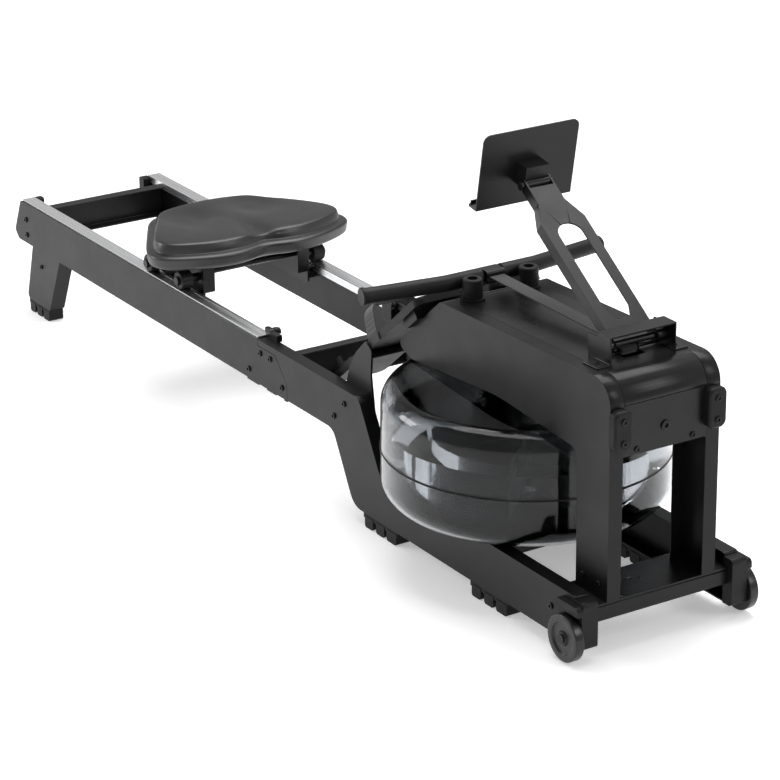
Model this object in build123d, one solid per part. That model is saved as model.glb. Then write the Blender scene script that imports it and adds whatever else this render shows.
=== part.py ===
from build123d import *
import os
from math import atan2, cos, degrees, hypot, pi, radians, sin

# Folding water rower. Millimetres, +Z up, +X towards the tank and the transport
# wheels, +Y to the rower's left when facing the tank. The origin lies on the
# floor, under the middle of the overall length and width.

# Overall sizes
half_length = 1054.0      # rear end of the rails, and front of the wheels
half_width = 169.5        # outer faces of the two side members
member_depth = 27.5       # width of a side member across Y
plate = 3.0               # sheet steel
rail_top = 245.0
rail_bottom = 155.5
seat_gap = 0.3            # clearance between bodies that move past each other

# Rails and the fold joint
track_rise = 3.0          # how far the aluminium track stands above the rail
track_width = 29.0
track_height = 16.0
track_groove = 0.6        # shadow gap between the track and the rail's outer lip
seam_x = -18.0            # where the rear rail's top meets the front member
seam_gap = 1.0
nose_drop = 12.0          # the nose of the rail runs under the front member
nose_top_x = 47.5
nose_front_x = 88.5
nose_knee_z = 187.0
rail_end_lean = 32.0
fold_x = -14.0
fold_z = 254.0
knuckle_r = 8.5
pin_r = 4.0
run_fit = 0.05            # radial clearance of a running fit

# Front members
lower_top = 117.0
lower_bottom = 26.0
front_end_x = half_length - 37.0    # where the side members end, behind the wheels' front
knee_x = 342.0            # top front corner of the S-shaped member
knee_foot_x = 413.0
heel_x = 252.0
heel_foot_x = 322.0

# Rear legs and feet
leg_top = (-980.0, -854.0)
leg_foot = (-1018.0, -913.0)
leg_depth = 34.0
leg_inset = 3.5
foot_plate_z = 26.0

# Head
panel_out = 112.5         # outer face of a head panel
panel_depth = 27.5
head_rear_x = 525.0
head_rear_z = 473.0
head_front_z = 486.0
head_front_x = 1028.0
head_leg_x = 938.5
head_lip_z = 337.0
bar_low = 64.0
bar_high = 91.0
base_plate_z = bar_high + 4.0

# Tank and drive
tank_x = 630.0
tank_r = 258.0
tank_wall = 4.0
tank_bottom = 121.0
tank_seam = 217.0
gasket_h = 3.0
tank_top = 334.0
water_top = 262.0
shaft_r = 8.0
paddle_r = 170.0
paddle_low = 150.0
paddle_high = 226.0
pinion_r = 22.0
crown_r = 46.0
drum_r = 33.0
strap_w = 30.0
strap_t = 2.0
guide_r = 8.0
guide_x = 917.0
guide_z = 489.0

# Handle
handle_x = 514.0
handle_z = 500.0
grip_r = 14.5
bar_r = 9.0
grip_start = 22.0
grip_end = 245.0
grip_bend_y = 95.0
grip_sweep = 23.0
post_y = 59.0
post_r = 18.0
post_bore = 9.5
post_h = 40.0

# Tablet holder
pivot_x = 935.0
pivot_z = 508.0
tilt_x = 652.0
tilt_z = 703.0
bracket_half = 68.0
bracket_top = 535.0
arm_half = 45.0
arm_tip_half = 27.0
arm_sheet = 3.0
tablet_w = 196.0
tablet_h = 141.0
tablet_t = 2.5
tablet_base_x = 615.0
tablet_base_z = 660.0
tablet_lean = 10.6

# Seat and carriage
seat_x = -398.0           # middle of the carriage's wheelbase
wheelbase = 126.0
roller_r = 18.0
roller_w = 26.0
cushion_rear = -548.0
cushion_front = -256.0
cushion_half = 222.0
cushion_low = 306.0
cushion_high = 354.0

# Transport wheels
wheel_r = 42.0
wheel_w = 17.0
wheel_out = half_width + 21.5    # outer faces of the two wheels
wheel_x = half_length - wheel_r - 1.5   # the rails, rounded at the end, stop 1.5 short too
wheel_z = wheel_r + 1.5
axle_r = 5.0

# Foot boards
board_angle = 40.0
board_low_x = 190.0
board_low_z = 230.0
board_len = 375.0
board_w = 108.0
board_t = 14.0
board_y = 79.0

# Places that follow from the sizes above
inner_face = half_width - member_depth
track_top = rail_top + track_rise
track_low = track_top - track_height
track_out = half_width - plate - track_groove
track_in = track_out - track_width
panel_in = panel_out - panel_depth
cover_half = panel_in
pan_low = lower_top + 0.3
sides = {"left": 1, "right": -1}
nodes = {}

os.makedirs("parts", exist_ok=True)


def block(x, y, z):
    """A box from three (low, high) spans."""
    size = [hi - lo for lo, hi in (x, y, z)]
    middle = [(hi + lo) / 2 for lo, hi in (x, y, z)]
    return Pos(*middle) * Box(*size)


def mirrored(span, side):
    """The span (low, high) across Y, on the left or the right side."""
    return span if side > 0 else (-span[1], -span[0])


def rod(axis, centre, radius, span):
    """A round bar along X, Y or Z; centre holds the two other coordinates."""
    lo, hi = span
    bar = Cylinder(radius, hi - lo)
    a, b = centre
    middle = (lo + hi) / 2
    if axis == "x":
        return Pos(middle, a, b) * Rot(0, 90, 0) * bar
    if axis == "y":
        return Pos(a, middle, b) * Rot(90, 0, 0) * bar
    return Pos(a, b, middle) * bar


def outline(points):
    """A closed face in X and Z from (x, z, corner radius) points."""
    corners = [(x, z) for x, z, _ in points]
    radii = [r for _, _, r in points]
    return make_face(FilletPolyline(*corners, radius=radii, close=True))


def slab(face, y):
    """Extrude an X-Z face across the span y."""
    lo, hi = y
    plane = Plane(origin=(0, hi, 0), x_dir=(1, 0, 0), z_dir=(0, -1, 0))
    return extrude(plane * face, hi - lo, dir=(0, -1, 0))


def channel(face, side, out, deep, wall=plate):
    """A pressed member: a web at the outer face with a flange all round."""
    whole = slab(face, mirrored((out - deep, out), side))
    hollow = slab(offset(face, -wall), mirrored((out - deep - 1, out - wall), side))
    return whole - hollow


def save(name, *solids):
    """Add solids to a node; each node is written once everything is built."""
    nodes.setdefault(name, []).extend(solids)


def screw(axis, centre, face, out, head_r=6.0, head_h=3.0, hex_r=3.2):
    """A button-head screw on a face; out is +1 or -1 along the axis."""
    top = face + out * head_h
    span = (min(face, top), max(face, top))
    head = rod(axis, centre, head_r, span)
    rim = head.edges().filter_by(GeomType.CIRCLE).sort_by(
        lambda e: out * getattr(e.center(), axis.upper()))[-1]
    head = fillet(rim, head_h * 0.45)
    socket_span = (min(top, top - out * 1.8), max(top, top - out * 1.8))
    recess = extrude(RegularPolygon(hex_r, 6), socket_span[1] - socket_span[0])
    lo = socket_span[0]
    a, b = centre
    if axis == "y":
        recess = Pos(a, socket_span[1], b) * Rot(90, 0, 0) * recess
    elif axis == "x":
        recess = Pos(lo, a, b) * Rot(0, 90, 0) * recess
    else:
        recess = Pos(a, b, lo) * recess
    return head - recess


# side outlines
rail_face = outline([
    (-half_length + rail_end_lean, rail_top, 8),
    (seam_x - seam_gap / 2, rail_top, 0),
    (seam_x - seam_gap / 2, rail_top - nose_drop - seam_gap, 0),
    (nose_top_x - seam_gap / 2, rail_top - nose_drop - seam_gap, 4),
    (nose_front_x - seam_gap / 2, nose_knee_z, 3),
    (nose_front_x - seam_gap / 2, rail_bottom, 0),
    (-half_length + 16, rail_bottom, 14),
    (-half_length, rail_bottom + 17, 8),
])
member_face = outline([
    (seam_x + seam_gap / 2, rail_top, 0),
    (knee_x, rail_top, 26),
    (knee_foot_x, lower_top, 16),
    (front_end_x, lower_top, 5),
    (front_end_x, lower_bottom, 5),
    (heel_foot_x, lower_bottom, 40),
    (heel_x, rail_bottom, 30),
    (nose_front_x + seam_gap / 2, rail_bottom, 0),
    (nose_front_x + seam_gap / 2, nose_knee_z, 4),
    (nose_top_x + seam_gap / 2, rail_top - nose_drop, 4),
    (seam_x + seam_gap / 2, rail_top - nose_drop, 0),
])
panel_face = outline([
    (head_rear_x, head_rear_z, 14),
    (head_front_x, head_front_z, 46),
    (head_front_x, base_plate_z, 0),
    (head_leg_x, base_plate_z, 0),
    (head_leg_x, head_lip_z + 3, 24),
    (700.0, head_lip_z + 20, 500),
    (432.0, head_lip_z, 16),
    (384.0, head_lip_z + 17, 12),
])
panel_skin = offset(panel_face, -plate)
head_block = slab(panel_face, (-200, 200))


# rear rails
def rear_rails():
    for name, side in sides.items():
        y = mirrored((inner_face, half_width), side)
        rail = slab(rail_face, y)
        recess = mirrored((inner_face - 1, half_width - plate), side)
        rail -= block((-half_length - 5, seam_x - seam_gap / 2), recess, (track_low, rail_top + 5))
        bore_y = mirrored((inner_face + plate, half_width - plate), side)
        bore = block((-half_length - 5, nose_top_x - 8), bore_y, (rail_bottom + plate, track_low - plate))
        rail -= bore
        save("rear_rails", rail)
        plug_y = mirrored((inner_face + plate + 0.1, half_width - plate - 0.1), side)
        plug_z = (rail_bottom + plate + 0.1, track_low - plate - 0.1)
        plug = slab(rail_face, y) & block((-half_length - 5, -half_length + 46), plug_y, plug_z)
        save("rail_end_caps", plug)

        track = block((-half_length + rail_end_lean + 4, seam_x - 4),
                      mirrored((track_in, track_out), side), (track_low, track_top))
        track = chamfer(track.edges().filter_by(Axis.X), 0.8)
        groove = mirrored((track_in + 9.0, track_in + 10.2), side)
        track -= block((-half_length, seam_x), groove, (track_top - 0.7, track_top + 1))
        save("seat_tracks", track)

        leg_rear, leg_front = leg_top
        foot_rear, foot_front = leg_foot
        leg_face = outline([
            (leg_rear, rail_bottom, 0), (leg_front, rail_bottom, 0),
            (foot_front, foot_plate_z, 6), (foot_rear, foot_plate_z, 12),
        ])
        save("rear_legs", channel(leg_face, side, half_width - leg_inset, leg_depth))
        y_mid = side * (half_width - leg_inset - leg_depth / 2)
        save("rear_leg_feet", foot_group(foot_rear + 6, foot_front - 3, y_mid, leg_depth - 3))
        for x, z in ((-999.0, 208.0), (-998.0, 174.0), (-53.0, 174.0), (-9.0, 219.0), (28.0, 219.0),
                     (70.0, 175.0)):
            save("rail_screws", screw("y", (x, z), side * half_width, side))
        save("rail_screws", screw("y", (-942.0, 117.0), side * (half_width - leg_inset), side, 5.0))

        stop_y = mirrored((track_in - 17.0, track_in - seat_gap), side)
        stop = block((-half_length + rail_end_lean - 6, -half_length + rail_end_lean + 14),
                     stop_y, (rail_top - 36, rail_top + 1))
        foot = block((-half_length + rail_end_lean, -half_length + rail_end_lean + 12),
                     mirrored((track_in - 17.0, inner_face), side), (rail_top - 36, track_low - 1))
        stop = fillet(stop.edges().filter_by(Axis.Y), 5.0) + foot
        save("rail_end_caps", stop)

        arm = mirrored((track_in - 10.0, inner_face), side)
        knuckle_y = mirrored((track_in - 10.0, track_in - 1.0), side)
        knuckle = rod("y", (fold_x, fold_z), knuckle_r, knuckle_y)
        knuckle += block((fold_x - 34, fold_x), knuckle_y, (fold_z - 38, fold_z))
        knuckle += block((fold_x - 34, fold_x), arm, (fold_z - 38, track_low - 1))
        knuckle += rod("y", (fold_x, fold_z), knuckle_r, knuckle_y)
        knuckle -= rod("y", (fold_x, fold_z), pin_r + run_fit, (-half_width, half_width))
        save("rail_knuckles", knuckle)

        tie_y = mirrored((inner_face + 1, half_width - 1.5), side)
        tie = block((-64.0, 84.0), tie_y, (rail_bottom - 5, rail_bottom))
        for x in (-20.0, 44.0):
            tie -= block((x, x + 30), tie_y, (rail_bottom - 6, rail_bottom - 2.5))
        save("rail_knuckles", tie)

    cross_y = (-inner_face, inner_face)
    cross = block((-970, -944), cross_y, (176, 241))
    cross -= block((-970 + plate, -940), cross_y, (176 + plate, 241 - plate))
    for side in sides.values():
        cross -= block((-975, -940), mirrored((track_in - seat_gap, inner_face + 1), side),
                       (track_low - 1, 250))
    save("rear_crossbar", cross)


def foot_group(x_low, x_high, y_mid, width):
    """One rubber foot: a pad with three rounded lobes that stand on the floor."""
    length = x_high - x_low
    lobe = length / 3
    pad = block((x_low, x_high), (y_mid - width / 2, y_mid + width / 2),
                (foot_plate_z - 9, foot_plate_z))
    for i in range(3):
        x = x_low + lobe * (i + 0.5)
        half = lobe * (0.36 if i < 2 else 0.42)
        piece = block((x - half, x + half), (y_mid - width / 2 - 1, y_mid + width / 2 + 1),
                      (0, foot_plate_z - 4))
        piece = fillet(piece.edges().filter_by(Axis.Y).sort_by(Axis.Z)[:2], 5.0)
        pad += piece
    return pad


# front frame
def front_frame():
    for name, side in sides.items():
        member = channel(member_face, side, half_width, member_depth)
        member -= rod("y", (wheel_x, wheel_z), axle_r, (-half_width - 1, half_width + 1))
        save("side_members", member)
        y_mid = side * (half_width - member_depth / 2)
        for x_low, x_high in ((356.0, 470.0), (706.0, 822.0)):
            save("frame_feet", foot_group(x_low, x_high, y_mid, member_depth))
        for x, z in ((293.0, 217.0), (257.0, 182.0), (948.0, 73.0)):
            save("frame_screws", screw("y", (x, z), side * half_width, side))
        for x in (959.0, 1005.0):
            save("frame_screws", screw("y", (x, 122.0), side * panel_out, side, 5.0))

        knuckle_y = mirrored((track_in + seat_gap, track_in + 12), side)
        knuckle = rod("y", (fold_x, fold_z), knuckle_r, knuckle_y)
        knuckle += block((fold_x, fold_x + 34), mirrored((inner_face, track_in + 12), side),
                         (rail_top, fold_z + 4))
        knuckle += block((fold_x, fold_x + 34), knuckle_y, (rail_top, fold_z + 4))
        knuckle -= rod("y", (fold_x, fold_z), pin_r, (-half_width, half_width))
        save("fold_hinge", knuckle)
        pin = rod("y", (fold_x, fold_z), pin_r, mirrored((track_in - 11.5, track_in + 12), side))
        pin += rod("y", (fold_x, fold_z), 6.5, mirrored((track_in - 14, track_in - 11), side))
        save("fold_hinge", pin)

        ear_y = mirrored((half_width, wheel_out - wheel_w - 0.8), side)
        ear = block((wheel_x - 34, front_end_x + 25), ear_y, (wheel_z - 18, 106))
        ear = fillet(ear.edges().filter_by(Axis.Y), 8.0)
        arch = block((wheel_x - 34, front_end_x + 25), mirrored((half_width, wheel_out - 9), side),
                     (wheel_z + wheel_r + 4, 106))
        arch = fillet(arch.edges().filter_by(Axis.Y).sort_by(Axis.Z)[-2:], 8.0)
        cap = block((front_end_x, front_end_x + 25), mirrored((inner_face - 2, half_width + 1), side),
                    (wheel_z - 18, 112))
        cap = fillet(cap.edges().filter_by(Axis.Y).sort_by(Axis.X)[2:], 8.0)
        bracket = cap + ear + arch
        bracket -= rod("y", (wheel_x, wheel_z), axle_r, (-wheel_out, wheel_out))
        save("wheel_brackets", bracket)

        wheel = rod("y", (wheel_x, wheel_z), wheel_r, mirrored((wheel_out - wheel_w, wheel_out), side))
        wheel = fillet(wheel.edges().filter_by(GeomType.CIRCLE), 3.0)
        dish = mirrored((wheel_out - 4, wheel_out + 1), side)
        wheel -= rod("y", (wheel_x, wheel_z), wheel_r - 12, dish) - rod("y", (wheel_x, wheel_z), 14, dish)
        wheel -= rod("y", (wheel_x, wheel_z), axle_r + run_fit, (-wheel_out - 1, wheel_out + 1))
        save(f"wheel_{name}", wheel)
        axle = rod("y", (wheel_x, wheel_z), axle_r, mirrored((half_width - 9, wheel_out + 1), side))
        axle += rod("y", (wheel_x, wheel_z), 8.0, mirrored((wheel_out + 0.3, wheel_out + 3), side))
        save("wheel_axles", axle)

    tube = block((1001, head_front_x), (-inner_face + 2.5, inner_face - 2.5), (bar_low, bar_high))
    tube = fillet(tube.edges().filter_by(Axis.Y), 2.0)
    tube -= block((1001 + plate, head_front_x - plate), (-inner_face, inner_face),
                  (bar_low + plate, bar_high - plate))
    save("front_crossbar", tube)
    base = block((925, head_front_x - 1), (-inner_face + 2.5, inner_face - 2.5), (bar_high, base_plate_z))
    base += block((930, front_end_x - plate - 1), (-half_width + plate + 0.2, half_width - plate - 0.2),
                  (bar_high, base_plate_z))
    save("frame_plates", base)
    cross = block((70, 70 + plate), (-inner_face + 2, inner_face - 2), (176, rail_top - 2))
    cross += block((70, 92), (-inner_face, inner_face), (rail_top - 2 - plate, rail_top - 2))
    cross += block((70, 92), (-inner_face + 2, inner_face - 2), (176, 176 + plate))
    save("frame_plates", cross)

    pan = rod("z", (tank_x, 0), 204.0, (pan_low, tank_bottom))
    save("tank_cradle", pan)
    for x in (500.0, 760.0):
        beam = block((x - 16, x + 16), (-inner_face, inner_face), (pan_low - 28, pan_low))
        beam -= block((x - 16 + plate, x + 16 - plate), (-half_width, half_width),
                      (pan_low - 28 + plate, pan_low - plate))
        save("tank_cradle", beam)


# head
def head():
    floor_hole = rod("z", (tank_x, 0), 30.0, (tank_top, 370))
    for name, side in sides.items():
        save("head_panels", channel(panel_face, side, panel_out, panel_depth))
        post = rod("z", (547, side * post_y), post_r, (head_rear_z - 10, head_rear_z + post_h))
        post = fillet(post.edges().filter_by(GeomType.CIRCLE).sort_by(Axis.Z)[-1], 3.0)
        post += rod("z", (547, side * post_y), post_r + 4, (head_rear_z - 10, head_rear_z + 5))
        post -= head_block
        post -= rod("z", (547, side * post_y), post_bore, (head_rear_z + 8, head_rear_z + 60))
        save("handle_posts", post)
        bumper = block((head_front_x, head_front_x + 17), mirrored((78, 115), side), (366, 438))
        bumper = fillet(bumper.edges().filter_by(Axis.X), 13.0)
        bumper = fillet(bumper.faces().sort_by(Axis.X)[-1].edges(), 5.0)
        save("storage_bumpers", bumper)
        for z in (382.0, 420.0):
            save("frame_screws", screw("x", (side * 96.0, z), head_front_x + 17, 1, 6.0, 2.5))
        save("frame_screws", screw("x", (side * 57.0, 358.5), head_front_x, 1, 5.5))

    shell = slab(panel_face, (-cover_half, cover_half)) - slab(panel_skin, (-cover_half - 1, cover_half + 1))
    slot = block((guide_x - 24, guide_x + 24), (-strap_w / 2 - 6, strap_w / 2 + 6), (440, 500))
    top = (shell & block((head_rear_x + 6, 1100), (-200, 200), (440, 520))) - slot
    save("head_top_cover", top)
    front = shell & block((1000, 1100), (-200, 200), (head_lip_z + 12.5, 440 - 0.3))
    save("head_front_cover", front)
    rear = shell & block((300, head_rear_x + 6 - 0.3), (-200, 200), (head_lip_z + 10, 520))
    save("head_shroud", rear)
    floor = shell & block((400, head_leg_x - 12), (-200, 200), (300, head_lip_z + 22))
    floor = floor & block((428, head_leg_x - 28), (-200, 200), (300, head_lip_z + 24))
    save("head_shroud", floor - floor_hole)

    socket = rod("x", (0, 388.6), 9.0, (head_front_x, head_front_x + 3))
    socket = fillet(socket.edges().filter_by(GeomType.CIRCLE).sort_by(Axis.X)[-1], 1.0)
    socket -= rod("x", (0, 388.6), 4.0, (head_front_x - 1, head_front_x + 5))
    save("head_front_cover", socket)


# tank and drive
def revolved(points):
    """Turn an (r, z) outline about the tank's axis; points carry corner radii."""
    face = make_face(FilletPolyline(*[(r, z) for r, z, _ in points],
                                    radius=[c for _, _, c in points], close=True))
    return Pos(tank_x, 0, 0) * revolve(Plane.XZ * face, Axis.Z)


def tank():
    inner = tank_r - tank_wall
    lower = revolved([
        (0, tank_bottom, 0), (tank_r, tank_bottom, 42), (tank_r, tank_seam, 0),
        (inner, tank_seam, 0), (inner, tank_bottom + tank_wall, 38), (0, tank_bottom + tank_wall, 0),
    ])
    save("tank_lower", lower)
    neck = 18.0
    upper = revolved([
        (neck, tank_top, 0), (tank_r - 2, tank_top, 34), (tank_r, tank_seam + gasket_h, 0),
        (inner, tank_seam + gasket_h, 0), (inner - 2, tank_top - tank_wall, 30),
        (neck, tank_top - tank_wall, 0),
    ])
    plug_x = tank_x + 150
    upper -= rod("z", (plug_x, 0), 16.0, (tank_top - 10, tank_top + 5))
    save("tank_upper", upper)
    gasket = revolved([
        (inner, tank_seam, 0), (tank_r + 1, tank_seam, 1), (tank_r + 1, tank_seam + gasket_h, 1),
        (inner, tank_seam + gasket_h, 0),
    ])
    save("tank_gasket", gasket)
    plug = rod("z", (plug_x, 0), 16.0, (tank_top - tank_wall, tank_top))
    plug += rod("z", (plug_x, 0), 19.0, (tank_top, tank_top + 6))
    save("fill_plug", plug)

    gap = seat_gap
    water = revolved([
        (0, tank_bottom + tank_wall, 0), (inner - 4 * gap, tank_bottom + tank_wall, 38),
        (inner - 4 * gap, water_top, 0), (0, water_top, 0),
    ])
    water -= rod("z", (tank_x, 0), paddle_r + 5, (paddle_low - 8, paddle_high + 8))
    water -= rod("z", (tank_x, 0), 24.0, (tank_bottom, water_top + 1))
    save("water", water)

    wheel = rod("z", (tank_x, 0), 20.0, (paddle_low, paddle_high))
    for i in range(8):
        paddle = block((15, paddle_r), (-2.5, 2.5), (paddle_low, paddle_high))
        paddle = fillet(paddle.edges().filter_by(Axis.Y).sort_by(Axis.X)[-2:], 12.0)
        wheel += Pos(tank_x, 0, 0) * Rot(0, 0, 45 * i) * paddle
    wheel -= rod("z", (tank_x, 0), shaft_r, (0, 400))
    save("impeller", wheel)
    shaft_top = drum_z() - drum_r - 6
    save("impeller_shaft", rod("z", (tank_x, 0), shaft_r, (tank_bottom + tank_wall + 3, shaft_top)))
    gear = rod("z", (tank_x, 0), pinion_r, (shaft_top - 12, shaft_top - 0.5))
    gear -= rod("z", (tank_x, 0), shaft_r, (0, 500))
    save("impeller_shaft", gear)
    low = rod("z", (tank_x, 0), 21.0, (tank_bottom + tank_wall, tank_bottom + tank_wall + 12))
    low -= rod("z", (tank_x, 0), shaft_r + run_fit, (tank_bottom + tank_wall + 2, 200))
    high = rod("z", (tank_x, 0), neck, (tank_top - tank_wall - 4, tank_top + 12))
    high += rod("z", (tank_x, 0), neck + 8, (tank_top, tank_top + 5))
    high -= rod("z", (tank_x, 0), shaft_r + run_fit, (200, 400))
    save("shaft_bearings", low, high)


def drum_z():
    """Height of the strap drum's shaft above the floor."""
    return 420.0


def drive():
    z = drum_z()
    drum = rod("y", (tank_x, z), drum_r, (-strap_w / 2 - 1, strap_w / 2 + 1))
    for y in (-strap_w / 2 - 2.5, strap_w / 2 + 1):
        drum += rod("y", (tank_x, z), drum_r + 4, (y, y + 1.5))
    drum -= rod("y", (tank_x, z), shaft_r, (-100, 100))
    save("strap_drum", drum)
    crown = rod("y", (tank_x, z), crown_r, (pinion_r + 0.5, pinion_r + 8))
    crown -= rod("y", (tank_x, z), shaft_r, (-100, 100))
    save("crown_gear", crown)
    save("strap_drum", rod("y", (tank_x, z), shaft_r, (-panel_in + 1, panel_in - 1)))
    for side in sides.values():
        ring = rod("y", (tank_x, z), 20.0, mirrored((panel_in - 8, panel_out - plate), side))
        save("shaft_bearings", ring - rod("y", (tank_x, z), shaft_r + run_fit, (-100, 100)))
    case = rod("y", (tank_x, z), 31.0, (-panel_in + 8, -44))
    case -= rod("y", (tank_x, z), shaft_r + 1, (-100, 0))
    save("recoil_spring_case", case)

    roller = rod("y", (guide_x, guide_z), guide_r, (-strap_w / 2 - 2, strap_w / 2 + 2))
    for y in (-strap_w / 2 - 3.5, strap_w / 2 + 2):
        roller += rod("y", (guide_x, guide_z), guide_r + 3, (y, y + 1.5))
    roller -= rod("y", (guide_x, guide_z), 4.0 + run_fit, (-100, 100))
    save("guide_roller", roller)
    save("bracket_shafts", rod("y", (guide_x, guide_z), 4.0, (-bracket_half + plate, bracket_half - plate)))

    r = guide_r + seat_gap
    start = (handle_x + 20.5, handle_z + 1)
    over = (guide_x, guide_z + r)
    front = (guide_x + r, guide_z)
    wound = (tank_x, z + drum_r + seat_gap)
    outer = r + strap_t
    path = Line(start, over) + ThreePointArc(
        over, (guide_x + r * cos(pi / 4), guide_z + r * sin(pi / 4)), front)
    path += ThreePointArc(front, (guide_x + r * cos(pi / 4), guide_z - r * sin(pi / 4)),
                          (guide_x, guide_z - r))
    path += Line((guide_x, guide_z - r), (wound[0], wound[1] + strap_t))
    path += Line((wound[0], wound[1] + strap_t), wound)
    path += Line(wound, (guide_x, guide_z - outer))
    path += ThreePointArc((guide_x, guide_z - outer), (guide_x + outer, guide_z),
                          (guide_x, guide_z + outer))
    path += Line((guide_x, guide_z + outer), (start[0], start[1] + strap_t))
    path += Line((start[0], start[1] + strap_t), start)
    save("pull_strap", slab(make_face(path), (-strap_w / 2, strap_w / 2)))


# handle
def handle():
    def half_path(side, y_from, y_to):
        lean = grip_sweep * (y_to - grip_bend_y) / (grip_end - grip_bend_y)
        points = [(handle_x, side * y_from, handle_z), (handle_x, side * grip_bend_y, handle_z),
                  (handle_x - lean, side * y_to, handle_z)]
        return FilletPolyline(*points, radius=[140.0])

    def tube(side, y_from, y_to, radius):
        path = half_path(side, y_from, y_to)
        section = Plane(origin=path @ 0, z_dir=path % 0) * Circle(radius)
        return sweep(section, path)

    bars = []
    for name, side in sides.items():
        grip = tube(side, grip_start, grip_end, grip_r)
        grip -= tube(side, grip_start - 2, grip_end + 2, bar_r)
        save("handle_grips", grip)
        bars.append(tube(side, 0, grip_end, bar_r))
        path = half_path(side, grip_start, grip_end)
        end = Plane(origin=path @ 1, z_dir=path % 1)
        cap = extrude(end * Circle(grip_r + 1.5), 7)
        cap = fillet(cap.edges().filter_by(GeomType.CIRCLE), 2.0)
        save("handle_end_caps", cap)
    save("handle_bar", bars[0] + bars[1])
    yoke = block((handle_x - 13, handle_x + 20), (-19, 19), (handle_z - 12, handle_z + 12))
    yoke = fillet(yoke.edges().filter_by(Axis.Y), 5.0)
    yoke -= rod("y", (handle_x, handle_z), bar_r, (-40, 40))
    save("handle_bar", yoke)


# tablet holder
def tablet_holder():
    skin = slab(offset(panel_face, plate), (-95, 95)) - head_block
    tabs = skin & block((922, 964), (-93, 93), (450, 520))
    tabs -= block((900, 980), (-bracket_half + plate, bracket_half - plate), (450, 520))
    cheeks = block((902, 964), (-bracket_half, bracket_half), (470, bracket_top))
    cheeks -= block((890, 980), (-bracket_half + plate, bracket_half - plate), (460, bracket_top - plate))
    cheeks -= block((890, pivot_x - 7), (-bracket_half - 1, bracket_half + 1), (pivot_z + 18, 560))
    bracket = (cheeks - head_block) + tabs
    save("tablet_bracket", bracket)
    save("bracket_shafts", rod("y", (pivot_x, pivot_z), 6.0, (-bracket_half + plate, bracket_half - plate)))
    for side in sides.values():
        ring = rod("y", (pivot_x, pivot_z), 10.0, mirrored((arm_half + seat_gap, bracket_half - plate), side))
        save("bracket_shafts", ring - rod("y", (pivot_x, pivot_z), 6.0, (-100, 100)))
        top = screw("z", (943, side * 80), head_rear_z + 13.5, 1, 4.5, 2.5, 2.2)
        save("frame_screws", top - slab(offset(panel_face, plate), (-200, 200)))

    run = hypot(tilt_x - pivot_x, tilt_z - pivot_z)
    along = ((tilt_x - pivot_x) / run, 0, (tilt_z - pivot_z) / run)
    normal = (along[2], 0, -along[0])
    plane = Plane(origin=(pivot_x, 0, pivot_z), x_dir=along, z_dir=normal)
    sheet = make_face(Polyline((-9, -arm_half), (run * 0.74, -arm_half), (run * 0.86, -arm_tip_half),
                               (run + 9, -arm_tip_half), (run + 9, arm_tip_half),
                               (run * 0.86, arm_tip_half), (run * 0.74, arm_half), (-9, arm_half),
                               close=True))
    body = extrude(sheet, 21)
    body -= extrude(offset(sheet, -arm_sheet, kind=Kind.INTERSECTION) , 21 - arm_sheet)
    body -= Pos(-9, 0, 6) * Box(30, 2 * arm_half - 2 * arm_sheet, 40)
    body -= Pos(run + 5, 0, 6) * Box(38, 2 * arm_tip_half - 2 * arm_sheet, 40)
    slot = make_face(FilletPolyline((40, -14), (64, -24), (246, -24), (246, 24), (64, 24), (40, 14),
                                    radius=[3, 6, 23.5, 23.5, 6, 3], close=True))
    body -= Pos(0, 0, 10) * extrude(slot, 20)
    body = Pos(0, 0, -11) * body
    body -= Rot(90, 0, 0) * Cylinder(6.0 + run_fit, 120)
    body -= Pos(run, 0, 0) * Rot(90, 0, 0) * Cylinder(4.0, 120)
    save("tablet_arm", plane * body)
    bolt = rod("y", (tilt_x, tilt_z), 4.0, (-arm_tip_half - 1, arm_tip_half + 1))
    bolt += rod("y", (tilt_x, tilt_z), 7.5, (-arm_tip_half - 6, -arm_tip_half))
    bolt += rod("y", (tilt_x, tilt_z), 7.5, (arm_tip_half, arm_tip_half + 5))
    save("tilt_bolt", bolt)

    lean = radians(tablet_lean)
    face = Plane(origin=(tablet_base_x, 0, tablet_base_z), x_dir=(0, 1, 0), z_dir=(cos(lean), 0, -sin(lean)))
    half = tablet_w / 2
    board = make_face(FilletPolyline((-half, 0), (half, 0), (half, tablet_h), (-half, tablet_h),
                                     radius=[0, 0, 14, 14], close=True))
    board = Pos(0, 0, -tablet_t) * extrude(board, tablet_t)
    lip = Pos(0, tablet_t / 2, -tablet_t / 2 - 13) * Box(tablet_w, tablet_t, 26)
    lip = fillet(lip.edges().filter_by(Axis.Y).sort_by(Axis.Z)[:2], 6.0)
    curl = Pos(0, 4, -26 - tablet_t / 2 + 1.2) * Box(tablet_w - 12, 8, tablet_t)
    save("tablet_plate", face * (board + lip + curl))
    dx, dz = tilt_x - tablet_base_x, tilt_z - tablet_base_z
    depth = dx * cos(lean) - dz * sin(lean)
    height = dx * sin(lean) + dz * cos(lean)
    knob_half = arm_tip_half - arm_sheet - seat_gap
    knob = Pos(0, height + 12, depth / 2) * Box(2 * knob_half, 40, depth)
    knob += Pos(0, height, depth) * Rot(0, 90, 0) * Cylinder(9.5, 2 * knob_half)
    knob -= Pos(0, height, depth) * Rot(0, 90, 0) * Cylinder(4.0 + run_fit, 100)
    save("tilt_block", face * knob)


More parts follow.
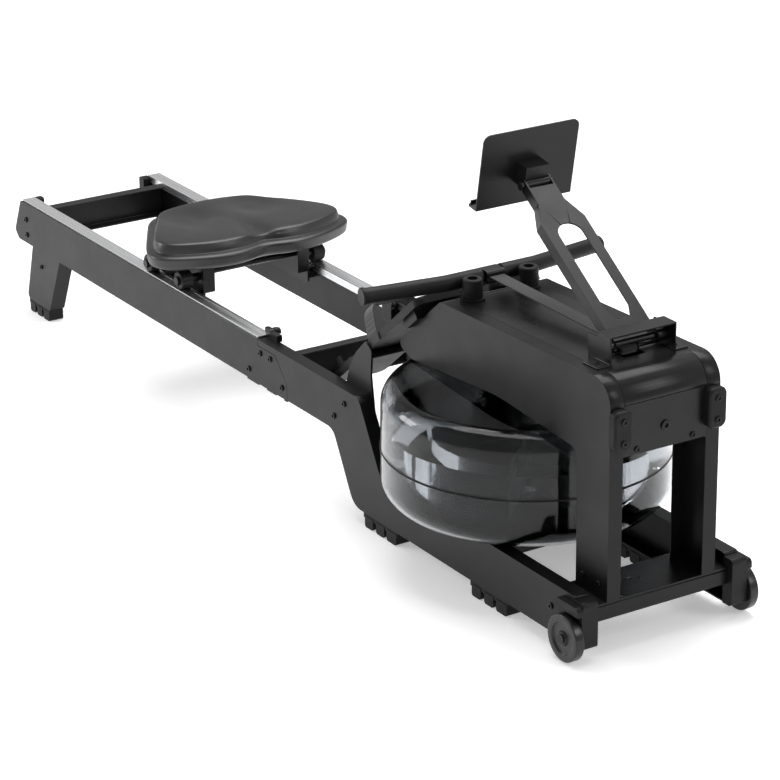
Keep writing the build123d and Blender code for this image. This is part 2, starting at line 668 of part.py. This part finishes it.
# seat carriage
def carriage():
    axle_z = track_top + seat_gap + roller_r
    side_out = track_in - 16.0
    for name, side in sides.items():
        wall = block((seat_x - wheelbase / 2 - 24, seat_x + wheelbase / 2 + 24),
                     mirrored((side_out - 4, side_out), side), (track_low - 20, 300))
        wall = fillet(wall.edges().filter_by(Axis.Y).sort_by(Axis.Z)[:2], 8.0)
        shelf = block((seat_x - wheelbase / 2 - 24, seat_x + wheelbase / 2 + 24),
                      mirrored((side_out - 34, side_out), side), (300 - plate, 300))
        wing = block((seat_x + wheelbase / 2 + 21, seat_x + wheelbase / 2 + 24),
                     mirrored((side_out - 26, side_out), side), (track_low + 6, 300))
        save("carriage_frame", wall + shelf + wing)
        for end, where in (("rear", -1), ("front", 1)):
            x = seat_x + where * wheelbase / 2
            y = (track_in + 1, track_in + 1 + roller_w)
            roller = rod("y", (x, axle_z), roller_r, mirrored(y, side))
            roller = fillet(roller.edges().filter_by(GeomType.CIRCLE), 2.5)
            roller -= rod("y", (x, axle_z), axle_r + run_fit, (-200, 200))
            save(f"roller_{end}_{name}", roller)
            bolt = rod("y", (x, axle_z), axle_r, mirrored((side_out, y[1] + 1), side))
            bolt += rod("y", (x, axle_z), 8.5, mirrored((side_out, y[0] - 0.5), side))
            head = Rot(90, 0, 0) * extrude(RegularPolygon(9.0, 6), 5)
            bolt += Pos(x, side * (y[1] + 3) + 2.5, axle_z) * head
            save("roller_bolts", bolt)
            guide = block((x - 15, x + 15), mirrored((side_out, inner_face - 1.5), side),
                          (track_low - 14, track_low - seat_gap))
            save("lower_guides", fillet(guide.edges().filter_by(Axis.Y), 3.0))
    bars = rod("y", (seat_x + wheelbase / 2 - 6, axle_z + 4), 6.0, (-side_out + 4, side_out - 4))
    save("carriage_frame", bars)
    save("carriage_frame", block((seat_x - 70, seat_x + 70), (-side_out + 6, side_out - 6),
                             (300, cushion_low)))


def cushion():
    points = [(cushion_rear, 0, 0), (cushion_rear, 112, 40), (-362, cushion_half + 6, 46),
              (-300, cushion_half - 22, 34), (cushion_front, 78, 60), (cushion_front - 18, 0, 0)]
    right = [(x, -y, r) for x, y, r in reversed(points[1:-1])]
    ring = points + right
    face = make_face(FilletPolyline(*[(x, y) for x, y, _ in ring], radius=[r for _, _, r in ring],
                                    close=True))
    pad = Pos(0, 0, cushion_low) * extrude(face, cushion_high - cushion_low)
    save("seat_cushion", pad)


# foot rests
def strap_loop(half, top, low, corner):
    """The arch of a foot strap, seen along the board, as a closed face."""
    points = [(-half, low), (half, low), (half, 3), (half * 0.78, top), (-half * 0.78, top), (-half, 3)]
    return make_face(FilletPolyline(*points, radius=[0, 0, 4, corner, corner, 4], close=True))


def foot_rests():
    slope = radians(board_angle)
    along = (cos(slope), 0, sin(slope))
    up = (-sin(slope), 0, cos(slope))
    for name, side in sides.items():
        plane = Plane(origin=(board_low_x, side * board_y, board_low_z), x_dir=along, z_dir=up)
        board = Pos(board_len / 2, 0, -board_t / 2) * Box(board_len, board_w, board_t)
        board = fillet(board.edges().filter_by(Axis.Z), 16.0)
        for i in range(5):
            board -= Pos(70 + i * 42, 0, 0) * Box(16, 62, 3)
        save("foot_boards", plane * board)

        base = Pos(44, 0, seat_gap + 2.5) * Box(80, board_w - 10, 5)
        wall_ring = Pos(44, 0, 0) * (Cylinder(49, 44) - Cylinder(44.5, 60))
        wall_ring = wall_ring & (Pos(2, 0, 11) * Box(84, 120, 22))
        cup = base + Pos(0, 0, seat_gap) * wall_ring
        save(f"heel_cup_{name}", plane * cup)

        height = 62.0
        reach = board_w / 2 + 2.5
        band_out = strap_loop(reach, height, -board_t, 30)
        band_in = strap_loop(reach - 2.2, height - 2.2, -board_t - 1, 28)
        across = Plane(origin=(0, 0, 0), x_dir=(0, 1, 0), z_dir=(1, 0, 0))
        strap = Pos(176, 0, 0) * extrude(across * (band_out - band_in), 38)
        save("foot_straps", plane * strap)

        ear_face = outline([
            (262, 206, 6), (352, 206, 6), (341, 282, 40), (345, 330, 8), (325, 344, 8),
            (292, 312, 30), (268, 274, 30), (258, 244, 6),
        ])
        save("foot_brackets", slab(ear_face, mirrored((inner_face - 4, inner_face), side)))
        pad = Pos(320, 0, -board_t - 14) * Box(44, board_w - 16, 28)
        save("foot_brackets", plane * pad - head_block)

    drop = board_t + 7
    x = board_low_x + 150 * cos(slope) + drop * sin(slope)
    z = board_low_z + 150 * sin(slope) - drop * cos(slope)
    save("foot_brackets", rod("y", (x, z), 7.0, (-inner_face + 4, inner_face - 4)))


rear_rails()
front_frame()
head()
tank()
drive()
handle()
tablet_holder()
carriage()
cushion()
foot_rests()

for name, solids in nodes.items():
    shape = solids[0] if len(solids) == 1 else Compound(children=solids)
    export_step(shape, f"parts/{name}.step")
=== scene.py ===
import bpy
from math import cos, pi, radians, sin
from mathutils import Matrix, Vector


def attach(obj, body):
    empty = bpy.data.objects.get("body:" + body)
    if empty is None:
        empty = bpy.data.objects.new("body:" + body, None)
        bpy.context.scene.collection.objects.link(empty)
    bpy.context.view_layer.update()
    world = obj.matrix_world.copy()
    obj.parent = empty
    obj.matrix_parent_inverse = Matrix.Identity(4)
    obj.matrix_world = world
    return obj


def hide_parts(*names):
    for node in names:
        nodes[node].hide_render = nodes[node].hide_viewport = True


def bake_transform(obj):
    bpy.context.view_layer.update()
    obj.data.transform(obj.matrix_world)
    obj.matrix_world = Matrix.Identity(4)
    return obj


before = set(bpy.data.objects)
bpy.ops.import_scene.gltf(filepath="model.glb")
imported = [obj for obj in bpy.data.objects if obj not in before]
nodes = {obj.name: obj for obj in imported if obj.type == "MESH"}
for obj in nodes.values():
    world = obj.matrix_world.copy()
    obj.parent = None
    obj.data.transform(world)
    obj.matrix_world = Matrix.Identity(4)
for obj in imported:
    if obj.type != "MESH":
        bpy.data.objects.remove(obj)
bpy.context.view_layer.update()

print("rower: frame loaded,", len(nodes), "CAD nodes")


# small helpers

def deselectAll():
    if bpy.context.object and bpy.context.object.mode != "OBJECT":
        bpy.ops.object.mode_set(mode="OBJECT")
    bpy.ops.object.select_all(action="DESELECT")


def makeActive(piece):
    deselectAll()
    piece.select_set(True)
    bpy.context.view_layer.objects.active = piece


def takeNew(name):
    piece = bpy.context.object
    piece.name = name
    piece.data.name = name
    return piece


def bakePlace(piece):
    makeActive(piece)
    bpy.ops.object.transform_apply(location=True, rotation=True, scale=True)


def addModifier(piece, kind, **values):
    modifier = piece.modifiers.new(kind.title(), kind)
    for key, value in values.items():
        setattr(modifier, key, value)
    return modifier


def applyModifiers(piece):
    makeActive(piece)
    for modifier in list(piece.modifiers):
        bpy.ops.object.modifier_apply(modifier=modifier.name)


def smooth(piece, degrees=35):
    makeActive(piece)
    bpy.ops.object.shade_smooth_by_angle(angle=radians(degrees))


def fixNormals(piece):
    makeActive(piece)
    bpy.ops.object.mode_set(mode="EDIT")
    bpy.ops.mesh.select_all(action="SELECT")
    bpy.ops.mesh.remove_doubles(threshold=0.00002)
    bpy.ops.mesh.normals_make_consistent(inside=False)
    bpy.ops.object.mode_set(mode="OBJECT")


def copyOfNode(node, name):
    piece = nodes[node].copy()
    piece.data = nodes[node].data.copy()
    piece.name = name
    piece.data.name = name
    piece.parent = None
    piece.matrix_world = Matrix.Identity(4)
    for key in [k for k in piece.keys() if k.startswith("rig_")]:
        del piece[key]
    bpy.context.collection.objects.link(piece)
    piece.hide_render = False
    piece.hide_viewport = False
    fixNormals(piece)
    return piece


# finishes

def newFinish(name):
    finish = bpy.data.materials.new(name)
    finish.use_nodes = True
    tree = finish.node_tree
    shader = tree.nodes["Principled BSDF"]
    place = tree.nodes.new("ShaderNodeTexCoord")
    return finish, tree, shader, place.outputs["Object"]


def noiseOn(tree, place, scale, detail=4.0, stretch=(1, 1, 1), roughness=0.55):
    mapping = tree.nodes.new("ShaderNodeMapping")
    mapping.inputs["Scale"].default_value = stretch
    noise = tree.nodes.new("ShaderNodeTexNoise")
    noise.inputs["Scale"].default_value = scale
    noise.inputs["Detail"].default_value = detail
    noise.inputs["Roughness"].default_value = roughness
    tree.links.new(place, mapping.inputs["Vector"])
    tree.links.new(mapping.outputs["Vector"], noise.inputs["Vector"])
    return noise.outputs["Fac"]


def rampOf(tree, value, dark, light, low=0.3, high=0.7):
    ramp = tree.nodes.new("ShaderNodeValToRGB")
    ramp.color_ramp.elements[0].position = low
    ramp.color_ramp.elements[1].position = high
    ramp.color_ramp.elements[0].color = (*dark, 1)
    ramp.color_ramp.elements[1].color = (*light, 1)
    tree.links.new(value, ramp.inputs["Fac"])
    return ramp.outputs["Color"]


def rangeOf(tree, value, low, high):
    spread = tree.nodes.new("ShaderNodeMapRange")
    spread.inputs["From Min"].default_value = 0.3
    spread.inputs["From Max"].default_value = 0.7
    spread.inputs["To Min"].default_value = low
    spread.inputs["To Max"].default_value = high
    tree.links.new(value, spread.inputs["Value"])
    return spread.outputs["Result"]


def addBump(tree, shader, value, strength, depth):
    bump = tree.nodes.new("ShaderNodeBump")
    bump.inputs["Strength"].default_value = strength
    bump.inputs["Distance"].default_value = depth
    tree.links.new(value, bump.inputs["Height"])
    tree.links.new(bump.outputs["Normal"], shader.inputs["Normal"])


def solidFinish(name, dark, light, rough, grain, bump,
                metallic=0.0, stretch=(1, 1, 1), tone=9.0, gloss=0.2):
    finish, tree, shader, place = newFinish(name)
    shader.inputs["Metallic"].default_value = metallic
    shader.inputs["Specular IOR Level"].default_value = gloss
    colour = rampOf(tree, noiseOn(tree, place, tone, 5.0, stretch), dark, light)
    tree.links.new(colour, shader.inputs["Base Color"])
    patches = rangeOf(tree, noiseOn(tree, place, tone * 2.3, 3.0, stretch), *rough)
    tree.links.new(patches, shader.inputs["Roughness"])
    addBump(tree, shader, noiseOn(tree, place, grain, 2.0, stretch), *bump)
    return finish


def clearFinish(name, tint, rough, ior, speckle, lid=None):
    finish, tree, shader, place = newFinish(name)
    shader.inputs["Transmission Weight"].default_value = 1.0
    shader.inputs["IOR"].default_value = ior
    colour = rampOf(tree, noiseOn(tree, place, 3.0), tint, tuple(min(1.0, c * 1.08) for c in tint))
    drops = tree.nodes.new("ShaderNodeTexVoronoi")
    drops.inputs["Scale"].default_value = speckle["scale"]
    tree.links.new(place, drops.inputs["Vector"])
    if lid:
        split = tree.nodes.new("ShaderNodeSeparateXYZ")
        tree.links.new(place, split.inputs["Vector"])
        height = tree.nodes.new("ShaderNodeMapRange")
        height.inputs["From Min"].default_value = lid["low"]
        height.inputs["From Max"].default_value = lid["high"]
        tree.links.new(split.outputs["Z"], height.inputs["Value"])
        beads = rampOf(tree, drops.outputs["Distance"], lid["bead"], lid["dark"], 0.10, 0.26)
        blend = tree.nodes.new("ShaderNodeMix")
        blend.data_type = "RGBA"
        tree.links.new(height.outputs["Result"], blend.inputs["Factor"])
        tree.links.new(colour, blend.inputs["A"])
        tree.links.new(beads, blend.inputs["B"])
        colour = blend.outputs["Result"]
    tree.links.new(colour, shader.inputs["Base Color"])
    edge = tree.nodes.new("ShaderNodeMapRange")
    edge.inputs["From Min"].default_value = 0.12
    edge.inputs["From Max"].default_value = 0.22
    edge.inputs["To Min"].default_value = speckle["rough"]
    edge.inputs["To Max"].default_value = rough
    tree.links.new(drops.outputs["Distance"], edge.inputs["Value"])
    tree.links.new(edge.outputs["Result"], shader.inputs["Roughness"])
    addBump(tree, shader, drops.outputs["Distance"], speckle["bump"], 0.0004)
    return finish


def weaveFinish(name, dark, light, pitch):
    finish, tree, shader, place = newFinish(name)
    ribs = tree.nodes.new("ShaderNodeTexWave")
    ribs.bands_direction = "Y"
    ribs.inputs["Scale"].default_value = pitch
    ribs.inputs["Distortion"].default_value = 0.6
    tree.links.new(place, ribs.inputs["Vector"])
    colour = rampOf(tree, ribs.outputs["Fac"], dark, light, 0.2, 0.8)
    tree.links.new(colour, shader.inputs["Base Color"])
    patches = rangeOf(tree, noiseOn(tree, place, 600.0), 0.65, 0.85)
    tree.links.new(patches, shader.inputs["Roughness"])
    shader.inputs["Sheen Weight"].default_value = 0.2
    addBump(tree, shader, ribs.outputs["Fac"], 0.5, 0.0006)
    return finish


powderBlack = solidFinish("powderBlack", (0.0040, 0.0040, 0.0043), (0.0062, 0.0062, 0.0066),
                          (0.30, 0.38), 1400.0, (0.12, 0.0004), gloss=0.22)
plateBlack = solidFinish("plateBlack", (0.0048, 0.0048, 0.0052), (0.0075, 0.0075, 0.008),
                         (0.26, 0.34), 1200.0, (0.10, 0.0004), gloss=0.26)
mouldedBlack = solidFinish("mouldedBlack", (0.0050, 0.0050, 0.0050), (0.0085, 0.0085, 0.009),
                           (0.38, 0.50), 1900.0, (0.22, 0.0005))
rubberBlack = solidFinish("rubberBlack", (0.0055, 0.0055, 0.0055), (0.010, 0.010, 0.010),
                          (0.45, 0.60), 900.0, (0.25, 0.0006))
gripFoam = solidFinish("gripFoam", (0.0065, 0.0065, 0.007), (0.012, 0.012, 0.012),
                       (0.40, 0.52), 700.0, (0.3, 0.0006))
rollerGrey = solidFinish("rollerGrey", (0.010, 0.010, 0.010), (0.02, 0.02, 0.02),
                         (0.4, 0.55), 800.0, (0.1, 0.0004))
boltBlack = solidFinish("boltBlack", (0.012, 0.012, 0.012), (0.03, 0.03, 0.03),
                        (0.28, 0.42), 1500.0, (0.08, 0.0003), metallic=0.8, gloss=0.5)
shaftSteel = solidFinish("shaftSteel", (0.42, 0.42, 0.43), (0.6, 0.6, 0.61),
                         (0.22, 0.36), 300.0, (0.05, 0.0003), metallic=1.0, stretch=(8, 1, 8))
trackAluminium = solidFinish("trackAluminium", (0.78, 0.79, 0.80), (0.90, 0.90, 0.91),
                             (0.24, 0.36), 500.0, (0.08, 0.0003), metallic=1.0,
                             stretch=(0.05, 8, 8), tone=30.0)
wheelGloss = solidFinish("wheelGloss", (0.006, 0.006, 0.006), (0.010, 0.010, 0.010),
                         (0.22, 0.32), 600.0, (0.06, 0.0003), gloss=0.4)
cushionSkin = solidFinish("cushionSkin", (0.0035, 0.0035, 0.0037), (0.0060, 0.0060, 0.0063),
                          (0.34, 0.44), 420.0, (0.22, 0.0006), gloss=0.75)
webbing = weaveFinish("webbing", (0.006, 0.006, 0.006), (0.02, 0.02, 0.02), 160.0)
tankClear = clearFinish("tankClear", (0.60, 0.615, 0.63), 0.03, 1.30,
                        {"scale": 230.0, "rough": 0.10, "bump": 0.10},
                        {"low": 0.322, "high": 0.331,
                         "dark": (0.012, 0.012, 0.012), "bead": (0.42, 0.42, 0.43)})
waterClear = clearFinish("waterClear", (0.74, 0.76, 0.78), 0.01, 1.20,
                         {"scale": 60.0, "rough": 0.02, "bump": 0.02})

finishOf = {
    powderBlack: ["side_members", "rear_rails", "rear_legs", "head_panels", "rear_crossbar",
                  "front_crossbar", "foot_brackets", "rail_knuckles"],
    plateBlack: ["frame_plates", "tank_cradle", "tablet_bracket", "tablet_arm", "tablet_plate",
                 "carriage_frame", "tilt_block", "head_top_cover", "head_front_cover",
                 "head_shroud"],
    mouldedBlack: ["rail_end_caps", "wheel_brackets", "foot_boards", "heel_cup_left",
                   "heel_cup_right", "lower_guides", "handle_end_caps", "recoil_spring_case",
                   "fill_plug", "impeller", "strap_drum", "guide_roller"],
    rubberBlack: ["frame_feet", "rear_leg_feet", "storage_bumpers", "handle_posts", "wheel_left",
                  "wheel_right", "tank_gasket"],
    gripFoam: ["handle_grips"],
    rollerGrey: ["roller_front_left", "roller_front_right", "roller_rear_left",
                 "roller_rear_right"],
    boltBlack: ["frame_screws", "rail_screws", "roller_bolts", "tilt_bolt", "fold_hinge",
                "handle_bar", "bracket_shafts", "wheel_axles"],
    shaftSteel: ["shaft_bearings", "impeller_shaft", "crown_gear"],
    trackAluminium: ["seat_tracks"],
    tankClear: ["tank_lower", "tank_upper"],
    waterClear: ["water"],
    cushionSkin: ["seat_cushion"],
    webbing: ["pull_strap", "foot_straps"],
}
for finish, names in finishOf.items():
    for name in names:
        node = nodes[name]
        node.data.materials.clear()
        node.data.materials.append(finish)

softEdges = {"width": 0.0015, "segments": 2}
bevelled = ["side_members", "rear_rails", "rear_legs", "head_panels", "rear_crossbar",
            "front_crossbar", "frame_plates", "tablet_bracket", "tablet_arm", "tablet_plate",
            "carriage_frame",
            "head_top_cover", "head_front_cover", "head_shroud", "rail_end_caps", "wheel_brackets",
            "foot_boards", "frame_feet", "rear_leg_feet", "foot_brackets", "rail_knuckles"]
for name in bevelled:
    addModifier(nodes[name], "WELD", merge_threshold=0.00002)
    addModifier(nodes[name], "BEVEL", width=softEdges["width"], segments=softEdges["segments"],
                limit_method="ANGLE", angle_limit=radians(40), harden_normals=True)
print("rower: finishes on")


# seat cushion

cushionShape = {
    "centre": (-0.405, 0.0),
    "half": [(-0.546, 0.0), (-0.546, 0.058), (-0.542, 0.098), (-0.525, 0.126), (-0.480, 0.152),
             (-0.430, 0.181), (-0.386, 0.206), (-0.354, 0.221), (-0.326, 0.222), (-0.302, 0.208),
             (-0.284, 0.176), (-0.266, 0.132), (-0.256, 0.090), (-0.258, 0.042), (-0.276, 0.0)],
    "layers": [(0.3005, 0.020), (0.3025, 0.008), (0.3080, 0.002), (0.3260, 0.000),
               (0.3300, 0.003), (0.3315, 0.012), (0.3325, 0.0165), (0.3400, 0.0175),
               (0.3500, 0.0215), (0.3540, 0.0260)],
    "plateau": (0.3552, 0.026),
    "dentsAbove": 0.345,
    "creases": [(0.3080, 0.5), (0.3260, 0.6), (0.3325, 0.8), (0.3500, 0.5)],
    "rings": [0.80, 0.62, 0.44, 0.26, 0.12],
    "dents": [(-0.455, 0.078, 0.060, 0.046, 0.0115), (-0.455, -0.078, 0.060, 0.046, 0.0115),
              (-0.292, 0.0, 0.055, 0.022, 0.0110)],
}


def makeCushion():
    half = cushionShape["half"]
    outline = [Vector((x, y, 0)) for x, y in half]
    outline += [Vector((x, -y, 0)) for x, y in reversed(half[1:-1])]
    centre = Vector((*cushionShape["centre"], 0))
    deselectAll()
    bpy.ops.mesh.primitive_circle_add(vertices=len(outline), radius=0.15, location=(0, 0, 0))
    cushion = takeNew("seatCushion")
    ring = [v.index for v in cushion.data.vertices]

    def spotOf(index):
        return tuple(round(c, 6) for c in cushion.data.vertices[index].co)

    def placeRing(indices, z, inset, shrink=1.0):
        for i, index in enumerate(indices):
            out = outline[i] - centre
            flat = centre + out * shrink * (1 - inset / out.length)
            cushion.data.vertices[index].co = (flat.x, flat.y, z)

    layers = cushionShape["layers"]
    placeRing(ring, *layers[0])
    steps = [(z, inset, 1.0) for z, inset in layers[1:]]
    steps += [(*cushionShape["plateau"], shrink) for shrink in cushionShape["rings"]]
    for z, inset, shrink in steps:
        bpy.ops.object.mode_set(mode="EDIT")
        bpy.ops.mesh.select_mode(type="EDGE")
        bpy.ops.mesh.select_all(action="DESELECT")
        bpy.ops.object.mode_set(mode="OBJECT")
        last = set(ring)
        for edge in cushion.data.edges:
            edge.select = set(edge.vertices) <= last
        bpy.ops.object.mode_set(mode="EDIT")
        bpy.ops.mesh.extrude_edges_move()
        bpy.ops.object.mode_set(mode="OBJECT")
        count = len(cushion.data.vertices)
        fresh = list(range(count - len(outline), count))
        old = {spotOf(i): k for k, i in enumerate(ring)}
        order = [0] * len(outline)
        for index in fresh:
            order[old[spotOf(index)]] = index
        ring = order
        placeRing(ring, z, inset, shrink)
    bpy.ops.object.mode_set(mode="EDIT")
    bpy.ops.mesh.select_all(action="DESELECT")
    bpy.ops.mesh.select_mode(type="VERT")
    bpy.ops.object.mode_set(mode="OBJECT")
    for index in ring:
        cushion.data.vertices[index].select = True
    bpy.ops.object.mode_set(mode="EDIT")
    bpy.ops.mesh.edge_face_add()
    bpy.ops.mesh.poke()
    bpy.ops.mesh.select_all(action="DESELECT")
    bpy.ops.mesh.select_non_manifold()
    bpy.ops.mesh.edge_face_add()
    bpy.ops.object.mode_set(mode="OBJECT")
    fixNormals(cushion)
    crease = cushion.data.attributes.new("crease_edge", "FLOAT", "EDGE")
    for edge in cushion.data.edges:
        heights = [cushion.data.vertices[i].co.z for i in edge.vertices]
        for z, hold in cushionShape["creases"]:
            if all(abs(height - z) < 1e-4 for height in heights):
                crease.data[edge.index].value = hold
    addModifier(cushion, "SUBSURF", levels=2, render_levels=2)
    applyModifiers(cushion)
    for vertex in cushion.data.vertices:
        if vertex.co.z > cushionShape["dentsAbove"]:
            for x, y, wide, deep, drop in cushionShape["dents"]:
                far = ((vertex.co.x - x) / wide) ** 2 + ((vertex.co.y - y) / deep) ** 2
                vertex.co.z -= drop * (1 / (1 + far ** 2))
    smooth(cushion, 60)
    cushion.data.materials.append(cushionSkin)
    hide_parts("seat_cushion")
    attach(cushion, "seat_carriage")
    return cushion


makeCushion()
print("rower: cushion made")


# transport wheels

wheelShape = {"radius": 0.042, "half": 0.0085, "hub": 0.013, "bead": 0.0035,
              "facets": 72, "wall": 0.0012,
              "steps": ((0.029, -0.0035), (0.013, 0.004), (0.008, -0.0015)),
              "centre": (1.0105, 0.1825, 0.0435)}


def makeWheel(side, name, node, body):
    x, y, z = wheelShape["centre"]
    deselectAll()
    bpy.ops.mesh.primitive_cylinder_add(vertices=wheelShape["facets"], radius=wheelShape["radius"],
                                        depth=wheelShape["half"] * 2,
                                        location=(x, side * y, z), rotation=(pi / 2, 0, 0))
    wheel = takeNew(name)
    bakePlace(wheel)
    middle = Vector((x, side * y, z))
    for sign in (1, -1):
        for reach, push in wheelShape["steps"]:
            bpy.ops.object.mode_set(mode="EDIT")
            bpy.ops.mesh.select_mode(type="FACE")
            bpy.ops.mesh.select_all(action="DESELECT")
            bpy.ops.object.mode_set(mode="OBJECT")
            caps = [face for face in wheel.data.polygons
                    if face.normal.y * sign > 0.9 and len(face.vertices) == wheelShape["facets"]]
            caps.sort(key=lambda face: face.area)
            caps[0].select = True
            corners = [wheel.data.vertices[i].co - middle for i in caps[0].vertices]
            rim = max(corner.xz.length for corner in corners)
            bpy.ops.object.mode_set(mode="EDIT")
            bpy.ops.mesh.inset(thickness=rim - reach, depth=0)
            bpy.ops.mesh.inset(thickness=wheelShape["wall"], depth=push)
            bpy.ops.object.mode_set(mode="OBJECT")
    addModifier(wheel, "BEVEL", width=wheelShape["bead"], segments=4, limit_method="ANGLE",
                angle_limit=radians(60), use_clamp_overlap=True)
    applyModifiers(wheel)
    fixNormals(wheel)
    smooth(wheel, 35)
    wheel.data.materials.append(wheelGloss)
    wheel.data.materials.append(boltBlack)
    for face in wheel.data.polygons:
        if (face.center - middle).xz.length < wheelShape["hub"] + 0.001:
            face.material_index = 1
    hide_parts(node)
    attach(wheel, body)


makeWheel(1, "wheelFar", "wheel_left", "wheel_left")
makeWheel(-1, "wheelNear", "wheel_right", "wheel_right")
print("rower: wheels made")


# pull strap: the upper run is split off and cut into short segments, the rest stays on the frame

strapCut = {"x": 0.900, "z": 0.490, "spacing": 0.03, "lastX": 0.55}


def makeStrap():
    run = copyOfNode("pull_strap", "strapRun")
    makeActive(run)
    bpy.ops.object.mode_set(mode="EDIT")
    bpy.ops.mesh.select_all(action="SELECT")
    bpy.ops.mesh.bisect(plane_co=(strapCut["x"], 0, 0), plane_no=(1, 0, 0),
                        clear_outer=True, use_fill=True)
    bpy.ops.mesh.select_all(action="SELECT")
    bpy.ops.mesh.bisect(plane_co=(0, 0, strapCut["z"]), plane_no=(0, 0, 1),
                        clear_inner=True, use_fill=True)
    x = strapCut["x"] - strapCut["spacing"]
    while x > strapCut["lastX"]:
        bpy.ops.mesh.select_all(action="SELECT")
        bpy.ops.mesh.bisect(plane_co=(x, 0, 0), plane_no=(1, 0, 0))
        x -= strapCut["spacing"]
    bpy.ops.object.mode_set(mode="OBJECT")
    back = copyOfNode("pull_strap", "strapReturn")
    makeActive(back)
    bpy.ops.object.mode_set(mode="EDIT")
    bpy.ops.mesh.select_all(action="SELECT")
    bpy.ops.mesh.bisect(plane_co=(strapCut["x"], 0, 0), plane_no=(1, 0, 0))
    bpy.ops.mesh.select_all(action="DESELECT")
    bpy.ops.mesh.select_mode(type="FACE")
    bpy.ops.object.mode_set(mode="OBJECT")
    for face in back.data.polygons:
        face.select = face.center.x < strapCut["x"] and face.center.z > strapCut["z"]
    bpy.ops.object.mode_set(mode="EDIT")
    bpy.ops.mesh.delete(type="FACE")
    bpy.ops.mesh.select_mode(type="EDGE")
    bpy.ops.mesh.select_all(action="DESELECT")
    bpy.ops.mesh.select_non_manifold()
    bpy.ops.mesh.edge_face_add()
    bpy.ops.object.mode_set(mode="OBJECT")
    for piece in (run, back):
        smooth(piece, 30)
        piece.data.materials.clear()
        piece.data.materials.append(webbing)
        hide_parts("pull_strap")
    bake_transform(run)
    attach(back, "front_frame")


makeStrap()
print("rower: strap made")


# floor, light and camera

studio = {"floor": 12.0, "world": 0.5, "target": (0.30984, -0.00013, 0.15016), "distance": 5.8686,
          "azimuth": 57.09, "elevation": 22.22, "roll": -0.277, "lens": 146.85,
          "shift": (-0.0481, 0.0405)}


def makeStudio():
    deselectAll()
    bpy.ops.mesh.primitive_plane_add(size=studio["floor"], location=(0, 0, -0.0005))
    floor = takeNew("studioFloor")
    paper, tree, shader, place = newFinish("studioPaper")
    colour = rampOf(tree, noiseOn(tree, place, 2.0), (0.90, 0.90, 0.90), (0.94, 0.94, 0.94))
    tree.links.new(colour, shader.inputs["Base Color"])
    shader.inputs["Roughness"].default_value = 0.7
    shader.inputs["Emission Color"].default_value = (1, 1, 1, 1)
    shader.inputs["Emission Strength"].default_value = 0.35
    floor.data.materials.append(paper)
    bakePlace(floor)
    world = bpy.data.worlds.new("studioWorld")
    bpy.context.scene.world = world
    world.use_nodes = True
    world.node_tree.nodes["Background"].inputs["Color"].default_value = (1, 1, 1, 1)
    world.node_tree.nodes["Background"].inputs["Strength"].default_value = studio["world"]
    lamps = [("overheadLamp", (0.0, 0.6, 3.0), (0.2, 0.0, 0.2), 2.6, 95),
             ("frontLamp", (3.6, 1.6, 2.2), (0.6, 0.0, 0.3), 1.4, 30),
             ("sideLamp", (-2.6, -2.6, 1.6), (-0.4, 0.0, 0.2), 1.4, 45)]
    for name, spot, aim, size, power in lamps:
        lamp = bpy.data.lights.new(name, "AREA")
        lamp.size = size
        lamp.energy = power
        holder = bpy.data.objects.new(name, lamp)
        holder.location = spot
        holder.rotation_euler = (Vector(aim) - Vector(spot)).to_track_quat("-Z", "Y").to_euler()
        bpy.context.collection.objects.link(holder)
    a, e, roll = (radians(studio[k]) for k in ("azimuth", "elevation", "roll"))
    back = Vector((sin(a) * cos(e), -cos(a) * cos(e), sin(e)))
    right = Vector((cos(a), sin(a), 0))
    up = back.cross(right)
    turnedRight = right * cos(roll) + up * sin(roll)
    turnedUp = up * cos(roll) - right * sin(roll)
    data = bpy.data.cameras.new("studioCamera")
    data.lens = studio["lens"]
    data.sensor_width = 36
    data.shift_x, data.shift_y = studio["shift"]
    camera = bpy.data.objects.new("studioCamera", data)
    bpy.context.collection.objects.link(camera)
    spot = Vector(studio["target"]) + back * studio["distance"]
    turn = Matrix((turnedRight, turnedUp, back)).transposed().to_4x4()
    camera.matrix_world = Matrix.Translation(spot) @ turn
    bpy.context.scene.camera = camera
    bpy.context.scene.view_settings.view_transform = "Standard"


makeStudio()
print("rower: studio ready")
